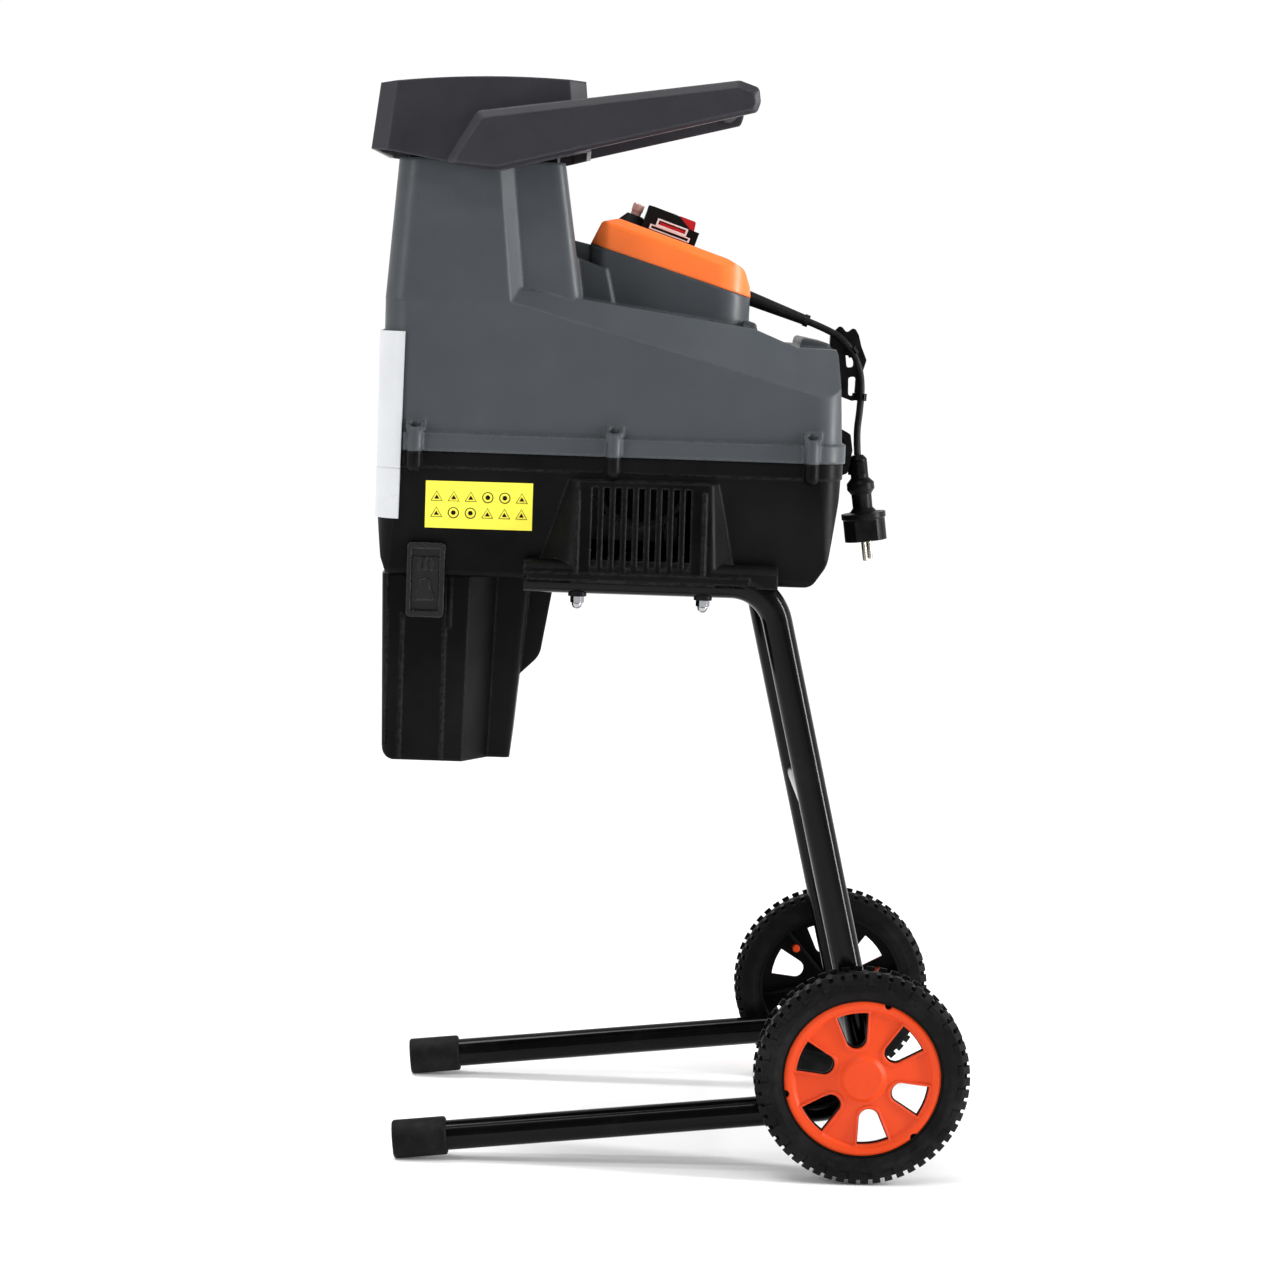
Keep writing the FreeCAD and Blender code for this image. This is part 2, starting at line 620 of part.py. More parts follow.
def switch_box():
    """Switch body: a pocket under the flip cover, then side walls that slope down past the stop button."""
    body = box(-34, 20, -26, 26, 0.0, 22)
    body = body.fuse(box(-29.9, 18.9, -21.9, 21.9, -30, 0))
    body = body.cut(box(-30.5, -5.0, -18, 18, 14, 30))
    body = body.cut(box(-35, -30, -18.2, 18.2, 18.9, 30))
    body = body.cut(box(-5.2, -4.1, -10.3, 10.3, 20.1, 30))
    body = body.cut(box(-22, -9, -7, 7, 5, 20))
    body = body.cut(box(-3.4, 15.2, -25, 25, 11.0, 30))
    body = body.cut(box(0, 11, -17, 17, 8, 30))
    body = body.cut(prism_xz([(-3.4, 22), (10.6, 13.5), (40, 13.5), (40, 40), (-3.4, 40)], -30, 30))
    for y in (-26, 26):
        body = body.cut(box(-27.2, 13.6, y - 1, y + 1, 0.9, 5.9))
        body = body.cut(box(-22, 9.0, y - 1, y + 1, 5.7, 13.3))
    return tilted(body)


def switch_frames():
    frames = []
    for y0, y1 in ((-26.8, -25.05), (25.05, 26.8)):
        upper = box(-21.9, 8.9, y0, y1, 5.9, 13.2).cut(box(-20, 7, y0 - 1, y1 + 1, 7.6, 11.6))
        lower = box(-27.1, 13.5, y0, y1, 1.0, 5.8).cut(box(-25.3, 11.7, y0 - 1, y1 + 1, 2.2, 4.6))
        frames.append(upper)
        frames.append(lower)
    return tilted(group(frames))


def switch_inlays():
    inlays = []
    for y0, y1 in ((-26.3, -25.05), (25.05, 26.3)):
        inlays.append(box(-18.5, 6.95, y0, y1, 7.65, 10.4))
    return tilted(group(inlays))


def flip_cover():
    lid = box(-30.0, -5.3, -17.8, 17.8, 19.2, 22.4)
    lid = lid.fuse(rod(1.6, (COVER_HINGE[0], -17.8, COVER_HINGE[1]), (COVER_HINGE[0], 17.8, COVER_HINGE[1])))
    lid = lid.fuse(box(-5.5, -4.3, -10, 10, 20.2, 22.4))
    return tilted(lid)


def stop_button():
    paddle = prism_xz([(-3.2, 13.2), (-3.2, 22.4, 1), (13.4, 22.4, 2), (14.8, 13.2)], -24.8, 24.8)
    guide = box(1, 10, -16, 16, 10.4, 13.5)
    return tilted(paddle.fuse(guide))


def start_button():
    return tilted(prism_xy(plan_rectangle(-21.9, -9.1, 6.9, 2, 2), 9.0, 16.2))


def reset_boot():
    cone = Part.makeCone(13.5, 8.0, 8.0, V(RESET_U, 0, 0.6))
    skirt = Part.makeCylinder(13.5, 0.6, V(RESET_U, 0, 0))
    boot = cone.fuse(skirt).cut(rod(5.05, (RESET_U, 0, -1), (RESET_U, 0, 20)))
    boot = tilted(boot)
    return boot.cut(control_panel()).cut(switch_box())


def reset_button():
    stem = rod(5.0, (RESET_U, 0, 2.5), (RESET_U, 0, 12.5))
    head = rod(5.6, (RESET_U, 0, 12.5), (RESET_U, 0, 20))
    head = head.makeFillet(1.4, [e for e in head.Edges if e.BoundBox.ZMin > 19.9])
    return tilted(stem.fuse(head))


# ---------------------------------------------------------------- cord, plug and keepers
def gland_axis():
    start = V(GLAND_START[0], CORD_Y, GLAND_START[1])
    end = V(CORD_POINTS[0][0], CORD_Y, CORD_POINTS[0][1])
    return start, end


def gland_tool(gap):
    start, end = gland_axis()
    run = end - start
    return Part.makeCylinder(7.2 + gap, 16, start - run * 0.05, run)


def cord_gland():
    start, end = gland_axis()
    run = end - start
    sleeve = Part.makeCone(7.2, 5.0, run.Length - 7, start, run)
    collar = Part.makeCylinder(5.9, 5, end - run * (7.5 / run.Length), run)
    core = Part.makeCylinder(CORD_R + 0.05, run.Length + 5, start - run * 0.02, run)
    return sleeve.fuse(collar).cut(core)


def cord_path():
    """Straight runs joined by tangent arcs, starting inside the gland and in line with it."""
    points = [V(x, CORD_Y, z) for x, z in CORD_POINTS]
    start, end = gland_axis()
    run = end - start
    points[0] = end - run * (20.0 / run.Length)
    edges = []
    last = points[0]
    for i in range(1, len(points) - 1):
        back = points[i - 1] - points[i]
        ahead = points[i + 1] - points[i]
        short = min(back.Length, ahead.Length)
        back.normalize()
        ahead.normalize()
        half_turn = (math.pi - back.getAngle(ahead)) / 2.0
        radius = 0.45 * short / math.tan(half_turn)
        arc_start = points[i] + back * (0.45 * short)
        arc_end = points[i] + ahead * (0.45 * short)
        bisector = back + ahead
        bisector.normalize()
        arc_mid = points[i] + bisector * (radius / math.cos(half_turn) - radius)
        edges.append(Part.LineSegment(last, arc_start).toShape())
        edges.append(Part.Arc(arc_start, arc_mid, arc_end).toShape())
        last = arc_end
    edges.append(Part.LineSegment(last, points[-1]).toShape())
    return Part.Wire(edges)


def power_cord():
    path = cord_path()
    print("cord bend radii", [round(e.Curve.Radius, 1) for e in path.Edges if hasattr(e.Curve, "Radius")])
    return swept(path, CORD_R)


def hung(shape):
    """Moves a plug piece, drawn hanging down from the origin, to the cord's end."""
    end = CORD_POINTS[-1]
    shape.rotate(V(0, 0, 0), V(0, 1, 0), -PLUG_TILT)
    shape.translate(V(end[0], CORD_Y, end[1]))
    return shape


def plug_body():
    profile = [(0, 0), (5.4, 0), (BOOT_R, -4), (BOOT_R, -22), (13.3, -27), (13.3, -33), (9.8, -38),
               (9.6, -51), (13, -55), (21.5, -56), (21.5, -61), (20.3, -62), (20.3, PLUG_FACE),
               (0, PLUG_FACE)]
    points = [V(r, 0, z) for r, z in profile]
    face = Part.Face(Part.makePolygon(points + [points[0]]))
    body = face.revolve(V(0, 0, 0), V(0, 0, 1), 360)
    flats = box(-30, 30, -20.4, 20.4, -90, -63).cut(box(-30, 30, -17.4, 17.4, -95, -60))
    body = body.cut(flats)
    for x, y in pin_centres():
        body = body.cut(rod(PIN_ROOT_R, (x, y, PLUG_FACE - 5), (x, y, PLUG_FACE + 15)))
    return hung(body).cut(swept(cord_path(), CORD_R + 0.02))


def pin_centres():
    turn = math.radians(71)
    return [(s * 9.5 * math.cos(turn), s * 9.5 * math.sin(turn)) for s in (-1, 1)]


def plug_pins():
    pins = []
    for x, y in pin_centres():
        tip = PLUG_FACE - PIN_LENGTH
        pin = rod(PIN_R, (x, y, PLUG_FACE), (x, y, tip))
        pin = pin.makeFillet(1.2, [e for e in pin.Edges if e.BoundBox.ZMax < tip + 0.1])
        pins.append(pin.fuse(rod(PIN_ROOT_R, (x, y, PLUG_FACE + 15), (x, y, PLUG_FACE - 2))))
    return hung(group(pins))


def cord_retainer():
    plate = [(150.5, 774), (152, 782, 2), (157.6, 788, 3), (164, 780.5, 3), (171, 786.5, 3),
             (175.5, 779, 3), (178.5, 768, 5), (184, 755, 3), (180.5, 743, 6), (177.5, 722, 4),
             (173.7, 714.5, 4), (160, 719, 4), (156, 740, 4), (156, 760, 4)]
    strap = prism_xz(plate, -3, 3)
    hole_high = prism_xz([(163, 763, 2.5), (170.5, 765, 2.5), (171.5, 748, 2.5), (165, 747, 2.5)], -10, 10)
    hole_low = prism_xz([(167, 738, 2.5), (174.2, 739, 2.5), (173.6, 721, 2.5), (167.6, 719.5, 2.5)], -10, 10)
    strap = strap.cut(hole_high).cut(hole_low)
    clips = []
    for index in (3, 5):
        (x0, z0), (x1, z1) = CORD_POINTS[index - 1], CORD_POINTS[index]
        run = V(x1 - x0, 0, z1 - z0)
        run.normalize()
        middle = V((x0 + x1) / 2, CORD_Y, (z0 + z1) / 2)
        ring = Part.makeCylinder(CORD_R + 2.2, 7, middle - run * 3.5, run)
        mouth = Part.makeBox(9, 20, 5.0, V(-4.5, -20, -2.5))
        mouth.rotate(V(0, 0, 0), V(0, 1, 0), math.degrees(math.atan2(-run.z, run.x)))
        mouth.translate(middle)
        foot = box(middle.x - 8, middle.x - 1, -6, 0, middle.z - 3.5, middle.z + 3.5)
        clips.append(ring.cut(mouth).fuse(foot))
    base = box(148, 160, -7, 7, 718, 742).fuse(box(148, 156, -7, 7, 764, 778))
    keeper = strap.fuse(clips + [base]).cut(swept(cord_path(), CORD_R + 0.15))
    return max(keeper.cut(upper_block(0)).Solids, key=lambda s: s.Volume)


def plug_holder():
    """Lug below the deck with an open ring that grips the plug's boot."""
    lug = prism_xz([(150, 689), (163.3, 687.5, 3), (170.5, 683.5, 3), (173, 668, 4), (169, 646, 4),
                    (163, 643.5, 4), (150, 646)], -17, 1)
    web = prism_xz([(158, 680, 2), (164, 679, 2), (166, 652, 2), (158, 651, 2)], -20, -12)
    ring = Part.makeCylinder(BOOT_R + 2.4, 12, V(0, 0, -18)).cut(box(5.5, 20, -20, 20, -30, 0))
    bore = Part.makeCylinder(BOOT_R + 0.15, 60, V(0, 0, -40))
    lug = lug.cut(web).fuse(hung(ring)).cut(hung(bore))
    lug = lug.cut(prism_xy(plan_rectangle(-300, REAR_X + 3.05, HALF_Y + 4, 0, PLAN_R + 3), 600, 700))
    return max(lug.Solids, key=lambda s: s.Volume)


# ---------------------------------------------------------------- wheels (drawn for -Y, mirrored for +Y)
def band(outer, inner, y0, y1):
    tube = rod(outer, (AXLE_X, y0, AXLE_Z), (AXLE_X, y1, AXLE_Z))
    return tube.cut(rod(inner, (AXLE_X, y0 - 1, AXLE_Z), (AXLE_X, y1 + 1, AXLE_Z)))


def turned(profile):
    """Solid of revolution about the axle from (radius, y) points."""
    wire = outline(profile, lambda p: V(AXLE_X + p.x, p.y, AXLE_Z))
    return Part.Face(wire).revolve(V(AXLE_X, 0, AXLE_Z), V(0, 1, 0), 360)


def around(shape, angle):
    turned_shape = shape.copy()
    turned_shape.rotate(V(AXLE_X, 0, AXLE_Z), V(0, 1, 0), -angle)
    return turned_shape


def tyre():
    out = -WHEEL_Y - WHEEL_HALF_W
    inn = -WHEEL_Y + WHEEL_HALF_W
    body = turned([(RIM_R, out + 3), (82, out, 3), (93, out + 1, 4), (99.7, out + 5, 3),
                   (TYRE_R, -WHEEL_Y - 10), (TYRE_R, -WHEEL_Y + 10),
                   (99.7, inn - 5, 3), (93, inn - 1, 4), (82, inn, 3), (RIM_R, inn - 3)])
    cuts = []
    pitch = 360.0 / TREAD_COUNT
    for i in range(TREAD_COUNT):
        crown = box(AXLE_X - 1.9, AXLE_X + 1.9, out + 11, inn - 11, AXLE_Z + 93.5, AXLE_Z + 104)
        outer_edge = box(AXLE_X - 2.1, AXLE_X + 2.1, out - 1, out + 9.2, AXLE_Z + 94, AXLE_Z + 104)
        inner_edge = box(AXLE_X - 2.1, AXLE_X + 2.1, inn - 9.2, inn + 1, AXLE_Z + 94, AXLE_Z + 104)
        cuts.append(around(crown, pitch * (i + 0.5)))
        cuts.append(around(outer_edge, pitch * i))
        cuts.append(around(inner_edge, pitch * i))
        if i % 2 == 0:
            stroke = box(AXLE_X - 0.8, AXLE_X + 0.8, out - 1, out + 1.8, AXLE_Z + 88, AXLE_Z + 96)
            hook = box(AXLE_X - 0.8, AXLE_X + 8.0, out - 1, out + 1.1, AXLE_Z + 87, AXLE_Z + 88.6)
            cuts.append(around(stroke.fuse(hook), pitch * i))
    body = body.cut(group(cuts))
    body = body.cut(band(TYRE_R + 2, CROWN_R, out + 10, inn - 10))
    for y in (out + 9.2, inn - 11.0):
        body = body.cut(band(TYRE_R + 2, TYRE_R - 5.5, y, y + 1.8))
    return body


def window(low, high, spread, y0, y1):
    """One tapering window, wide and curved outside, round inside, on the +X side of the hub."""
    a = math.asin(spread / high)
    wide = math.asin(spread * 0.62 / low)
    inner = [V(low * math.cos(wide), y0, side * low * math.sin(wide)) for side in (1, -1)]
    outer = [V(high * math.cos(a), y0, side * high * math.sin(a)) for side in (-1, 1)]
    tip = V(low - spread * 0.50, y0, 0)
    edges = [Part.Arc(inner[0], tip, inner[1]).toShape(),
             Part.LineSegment(inner[1], outer[0]).toShape(),
             Part.Arc(outer[0], V(high, y0, 0), outer[1]).toShape(),
             Part.LineSegment(outer[1], inner[0]).toShape()]
    cutter = Part.Face(Part.Wire(edges)).extrude(V(0, y1 - y0, 0))
    cutter.translate(V(AXLE_X, 0, AXLE_Z))
    return cutter


def all_windows(grow, y0, y1):
    single = window(36.0 - grow, 62.0 + grow, 15.0 + grow, y0, y1)
    return group([around(single, WINDOW_PHASE + 60 * i) for i in range(WINDOW_COUNT)])


def wheel_core():
    barrel = band(RIM_R - 0.05, RIM_R - 3.5, -224.9, -195).fuse(band(RIM_R - 0.05, RIM_R - 2.2, -229, -224.5))
    web = band(RIM_R - 1, HUB_R - 1, -225, -221.5).cut(all_windows(-1.0, -240, -200))
    hub = band(HUB_R, AXLE_R + RUN_GAP, -224, -194)
    ribs = []
    for i in range(WINDOW_COUNT):
        rib = box(AXLE_X + HUB_R - 1, AXLE_X + RIM_R - 2, -222, -208, AXLE_Z - 1.4, AXLE_Z + 1.4)
        ribs.append(around(rib, WINDOW_PHASE + 30 + 60 * i))
    core = barrel.fuse([web, hub] + ribs)
    for i in range(PEG_COUNT):
        peg_hole = rod(4.0, (AXLE_X + PEG_PATH_R, -240, AXLE_Z), (AXLE_X + PEG_PATH_R, -200, AXLE_Z))
        core = core.cut(around(peg_hole, PEG_PHASE + 120 * i))
    return core


def wheel_cover():
    disc = turned([(0.0, -231.2), (0.0, -233.8), (18, -233.8, 1.5), (19.5, -232.3, 1), (22, -229.5, 2),
                   (62, -227.5, 2), (65, -230.5, 2), (70, -231.2, 2), (72.5, -229, 1), (72.5, -226.4),
                   (69, -225.05), (24, -225.05), (17, -231.2)])
    lips = []
    lip = window(33.8, 64.2, 17.2, -230.0, -226).cut(window(36.0, 62.0, 15.0, -240, -220))
    for i in range(WINDOW_COUNT):
        lips.append(around(lip, WINDOW_PHASE + 60 * i))
    cover = disc.fuse(lips).cut(all_windows(0.0, -240, -220))
    for i in range(PEG_COUNT):
        notch = rod(3.6, (AXLE_X + 72.6, -240, AXLE_Z), (AXLE_X + 72.6, -220, AXLE_Z))
        cover = cover.cut(around(notch, NOTCH_PHASE + 120 * i))
        peg = rod(3.8, (AXLE_X + PEG_PATH_R, -226, AXLE_Z), (AXLE_X + PEG_PATH_R, -205, AXLE_Z))
        cover = cover.fuse(around(peg, PEG_PHASE + 120 * i))
    return one_body(cover)


def axle():
    shaft = rod(AXLE_R, (AXLE_X, -AXLE_HALF, AXLE_Z), (AXLE_X, AXLE_HALF, AXLE_Z))
    return shaft.makeChamfer(0.8, [e for e in shaft.Edges if abs(e.Length - 2 * math.pi * AXLE_R) < 0.1])


def wheel_washers():
    return group([band(11, AXLE_R + 0.1, -193, -191), band(11, AXLE_R + 0.1, 191, 193)])


def axle_clips():
    clip = band(10, AXLE_R, -228.4, -224.6)
    for angle in (0, 120, 240):
        slot = box(AXLE_X + 6.4, AXLE_X + 11, -230, -226.4, AXLE_Z - 0.8, AXLE_Z + 0.8)
        clip = clip.cut(around(slot, angle))
    return group([clip, mirrored(clip)])


# ---------------------------------------------------------------- drive inside the housing
def gear(teeth, x, y0, y1, phase):
    """Spur gear about a Y axis: thin straight-flanked teeth that leave some backlash."""
    pitch_r = GEAR_MODULE * teeth / 2.0
    root = pitch_r - 1.15 * GEAR_MODULE
    tip = pitch_r + 0.80 * GEAR_MODULE
    step = 360.0 / teeth
    at_pitch = GEAR_MODULE * math.pi * 0.23
    points = []
    for i in range(teeth):
        middle = phase + step * i
        for side, radius, half in ((-1, root, at_pitch + 0.75), (-1, tip, at_pitch - 0.85),
                                   (1, tip, at_pitch - 0.85), (1, root, at_pitch + 0.75)):
            angle = math.radians(middle) + side * half / radius
            points.append((x + radius * math.cos(angle), DRIVE_Z + radius * math.sin(angle)))
    return prism_xz(points, y0, y1)


def motor_rotor():
    shaft = rod(6.0, (MOTOR_X, -78, DRIVE_Z), (MOTOR_X, 76, DRIVE_Z))
    stack = rod(30.0, (MOTOR_X, -38, DRIVE_Z), (MOTOR_X, 22, DRIVE_Z))
    return shaft.fuse(stack)


def motor_pinion():
    mesh = 180.0 + (180.0 / MOTOR_TEETH)
    wheel = gear(MOTOR_TEETH, MOTOR_X, 62.5, 74, mesh)
    return wheel.cut(rod(6.0, (MOTOR_X, 50, DRIVE_Z), (MOTOR_X, 80, DRIVE_Z)))


def motor_fan():
    hub = rod(12.0, (MOTOR_X, -72, DRIVE_Z), (MOTOR_X, -58, DRIVE_Z))
    plate = rod(44.0, (MOTOR_X, -60, DRIVE_Z), (MOTOR_X, -58, DRIVE_Z))
    blades = []
    for i in range(8):
        blade = box(MOTOR_X + 11, MOTOR_X + 44, -72, -59, DRIVE_Z - 1, DRIVE_Z + 1)
        blade.rotate(V(MOTOR_X, 0, DRIVE_Z), V(0, 1, 0), 45 * i)
        blades.append(blade)
    fan = hub.fuse([plate] + blades)
    return fan.cut(rod(6.0, (MOTOR_X, -90, DRIVE_Z), (MOTOR_X, -50, DRIVE_Z)))


def motor_stator():
    can = rod(50.0, (MOTOR_X, -52, DRIVE_Z), (MOTOR_X, 40, DRIVE_Z))
    can = can.cut(rod(31.0, (MOTOR_X, -48, DRIVE_Z), (MOTOR_X, 36, DRIVE_Z)))
    can = can.cut(rod(6.0 + RUN_GAP, (MOTOR_X, -60, DRIVE_Z), (MOTOR_X, 60, DRIVE_Z)))
    feet = [box(MOTOR_X + dx - 6, MOTOR_X + dx + 6, -40, 30, FLOOR_Z + WALL, 600) for dx in (-30, 30)]
    feet = [foot.cut(rod(49.0, (MOTOR_X, -60, DRIVE_Z), (MOTOR_X, 60, DRIVE_Z))) for foot in feet]
    return can.fuse(feet)


def intermediate_gear():
    big = gear(MID_BIG_TEETH, MID_X, 62.5, 74, 0.0)
    small = gear(MID_SMALL_TEETH, MID_X, 74, 92, 0.0)
    shaft = rod(6.0, (MID_X, 56, DRIVE_Z), (MID_X, 99, DRIVE_Z))
    return big.fuse([small, shaft])


def drum_gear():
    mesh = 180.0 / DRUM_TEETH
    wheel = gear(DRUM_TEETH, DRUM_X, 77, 91, mesh)
    wheel = wheel.cut(rod(10.0, (DRUM_X, 50, DRIVE_Z), (DRUM_X, 120, DRIVE_Z)))
    for i in range(6):
        hole = rod(9.0, (DRUM_X + 38, 60, DRIVE_Z), (DRUM_X + 38, 120, DRIVE_Z))
        hole.rotate(V(DRUM_X, 0, DRIVE_Z), V(0, 1, 0), 60 * i)
        wheel = wheel.cut(hole)
    return wheel


def cutting_drum():
    drum = rod(38.0, (DRUM_X, -36, DRIVE_Z), (DRUM_X, 36, DRIVE_Z))
    shaft = rod(10.0, (DRUM_X, -66, DRIVE_Z), (DRUM_X, 99, DRIVE_Z))
    blades = []
    for i in range(8):
        blade = prism_xz([(DRUM_X + 34, DRIVE_Z - 6), (DRUM_X + 46, DRIVE_Z - 1), (DRUM_X + 46, DRIVE_Z + 2),
                          (DRUM_X + 34, DRIVE_Z + 3)], -36, 36)
        blade.rotate(V(DRUM_X, 0, DRIVE_Z), V(0, 1, 0), 45 * i)
        blades.append(blade)
    return drum.fuse([shaft] + blades)


def drum_bearings():
    races = []
    for y0, y1 in ((-58, -46), (44, 56)):
        race = rod(22.0, (DRUM_X, y0, DRIVE_Z), (DRUM_X, y1, DRIVE_Z))
        races.append(race.cut(rod(10.0 + RUN_GAP, (DRUM_X, y0 - 1, DRIVE_Z), (DRUM_X, y1 + 1, DRIVE_Z))))
    return group(races)


def chamber_frame():
    """Cast side plates that carry the drum bearings, joined by a front crossbar."""
    plates = []
    for y0, y1 in ((-58, -46), (44, 56)):
        plate = prism_xz([(-262, FLOOR_Z + WALL, 4), (-262, 690, 10), (-138, 690, 10), (-128, 640, 10),
                          (-128, FLOOR_Z + WALL, 4)], y0, y1)
        plate = plate.cut(rod(22.0, (DRUM_X, y0 - 1, DRIVE_Z), (DRUM_X, y1 + 1, DRIVE_Z)))
        plates.append(plate)
    bar = box(-262, -254, -50, 50, 628, 652)
    frame = plates[0].fuse([plates[1], bar])
    return frame.cut(rod(5.0 + RUN_GAP, (-270, 0, DRIVE_Z), (-250, 0, DRIVE_Z)))


def pressure_plate():
    plate = box(-242.5, -237.2, -42, 42, 600, 676)
    boss = rod(9.0, (-246.5, 0, DRIVE_Z), (-242, 0, DRIVE_Z))
    return plate.fuse(boss).cut(rod(5.0 + RUN_GAP, (-256, 0, DRIVE_Z), (-230, 0, DRIVE_Z)))


def adjusting_screw():
    shank = rod(5.0, (-267, 0, DRIVE_Z), (-241.5, 0, DRIVE_Z))
    head = rod(7.5, (-267, 0, DRIVE_Z), (-262.2, 0, DRIVE_Z))
    collar = rod(7.5, (-253.8, 0, DRIVE_Z), (-252.8, 0, DRIVE_Z))
    slot = box(-268, -265.5, -0.8, 0.8, DRIVE_Z - 6, DRIVE_Z + 6)
    return shank.fuse([head, collar]).cut(slot)


def gearbox_outline(inset):
    return [(-262 + inset, 568 + inset, 8), (-262 + inset, 712 - inset, 8), (-6 - inset, 712 - inset, 8),
            (-6 - inset, 568 + inset, 8)]


def gearbox_case():
    case = prism_xz(gearbox_outline(0), CASE_Y[0] + 4, CASE_Y[1])
    case = case.cut(prism_xz(gearbox_outline(3), CASE_Y[0], CASE_Y[1] - 4))
    case = case.cut(rod(6.0 + RUN_GAP, (MID_X, 80, DRIVE_Z), (MID_X, 110, DRIVE_Z)))
    return case.cut(rod(10.0 + RUN_GAP, (DRUM_X, 80, DRIVE_Z), (DRUM_X, 110, DRIVE_Z)))


def gearbox_cover():
    plate = prism_xz(gearbox_outline(0), CASE_Y[0], CASE_Y[0] + 4)
    for x, radius in ((MOTOR_X, 6.0), (MID_X, 6.0), (DRUM_X, 10.0)):
        plate = plate.cut(rod(radius + RUN_GAP, (x, 50, DRIVE_Z), (x, 110, DRIVE_Z)))
    return plate


def capacitor():
    can = rod(19.0, (60, -60, 610), (60, 24, 610))
    clip = box(40, 80, -30, -14, FLOOR_Z + WALL, 600).cut(rod(19.0, (60, -60, 610), (60, 40, 610)))
    return can.fuse(clip)


# ---------------------------------------------------------------- build and export
def build():
    chute = discharge_chute()
    left_tyre = tyre()
    left_core = wheel_core()
    left_cover = wheel_cover()
    nodes = {
        "frame_tube_left": frame_tube(-TUBE_Y),
        "frame_tube_right": frame_tube(TUBE_Y),
        "cross_brace": cross_brace(),
        "foot_cap_left": foot_cap(-TUBE_Y),
        "foot_cap_right": foot_cap(TUBE_Y),
        "tube_bolts": tube_bolts(),
        "tube_washers": tube_washers(),
        "acorn_nuts": acorn_nuts(),
        "axle": axle(),
        "wheel_washers": wheel_washers(),
        "axle_clips": axle_clips(),
        "tyre_left": left_tyre,
        "tyre_right": mirrored(left_tyre),
        "wheel_core_left": left_core,
        "wheel_core_right": mirrored(left_core),
        "wheel_cover_left": left_cover,
        "wheel_cover_right": mirrored(left_cover),
        "lower_housing": lower_housing(),
        "upper_housing": upper_housing(),
        "housing_screws": housing_screws(),
        "front_panel": front_panel(),
        "label_plate": label_plate(),
        "hood": hood(),
        "handle_bar": handle_bar(),
        "feed_funnel": feed_funnel(),
        "discharge_chute": chute,
        "latch_bezel": latch_bezel(chute),
        "latch_slider": latch_slider(),
        "safety_switch": safety_switch(),
        "control_panel": control_panel(),
        "switch_box": switch_box(),
        "switch_frames": switch_frames(),
        "switch_inlays": switch_inlays(),
        "flip_cover": flip_cover(),
        "stop_button": stop_button(),
        "start_button": start_button(),
        "reset_boot": reset_boot(),
        "reset_button": reset_button(),
        "cord_gland": cord_gland(),
        "power_cord": power_cord(),
        "cord_retainer": cord_retainer(),
        "plug_holder": plug_holder(),
        "plug_body": plug_body(),
        "plug_pins": plug_pins(),
        "motor_stator": motor_stator(),
        "motor_rotor": motor_rotor(),
        "motor_pinion": motor_pinion(),
        "motor_fan": motor_fan(),
        "intermediate_gear": intermediate_gear(),
        "drum_gear": drum_gear(),
        "cutting_drum": cutting_drum(),
        "drum_bearings": drum_bearings(),
        "chamber_frame": chamber_frame(),
        "pressure_plate": pressure_plate(),
        "adjusting_screw": adjusting_screw(),
        "gearbox_case": gearbox_case(),
        "gearbox_cover": gearbox_cover(),
        "capacitor": capacitor(),
    }
    return nodes


os.makedirs("parts", exist_ok=True)
for name, shape in build().items():
    print(name, "valid", shape.isValid(), "solids", len(shape.Solids), "volume", round(shape.Volume, 1))
    shape.exportStep("parts/" + name + ".step")
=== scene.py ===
import json
import math

import bpy
from mathutils import Matrix, Vector


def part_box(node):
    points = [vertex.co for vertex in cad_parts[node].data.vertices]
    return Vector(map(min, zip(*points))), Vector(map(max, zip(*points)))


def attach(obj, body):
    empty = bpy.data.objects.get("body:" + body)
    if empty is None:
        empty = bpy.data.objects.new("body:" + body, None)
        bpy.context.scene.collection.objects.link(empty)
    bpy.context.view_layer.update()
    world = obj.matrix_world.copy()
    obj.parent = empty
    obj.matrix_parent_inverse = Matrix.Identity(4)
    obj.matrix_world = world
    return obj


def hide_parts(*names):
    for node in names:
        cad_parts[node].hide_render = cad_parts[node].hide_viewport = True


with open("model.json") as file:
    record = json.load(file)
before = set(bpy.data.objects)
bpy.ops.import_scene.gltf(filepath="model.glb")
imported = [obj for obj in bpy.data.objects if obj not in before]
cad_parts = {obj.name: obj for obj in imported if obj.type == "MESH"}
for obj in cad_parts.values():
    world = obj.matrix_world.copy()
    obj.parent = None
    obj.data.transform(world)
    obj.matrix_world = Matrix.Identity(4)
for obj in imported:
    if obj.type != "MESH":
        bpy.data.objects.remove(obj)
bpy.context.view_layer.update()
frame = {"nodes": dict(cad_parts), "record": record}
scene = bpy.context.scene
nodes = frame["nodes"]
MM = 0.001


# ---------------------------------------------------------------- camera
SENSOR_WIDTH = 36.0
LENS = 101.25
FAR_CLIP = 30.0
CAMERA_PLACE = (-0.0933, -3.485, 0.8452)
YAW = math.radians(1.12)
PITCH = math.radians(6.05)
ROLL = math.radians(2.03)


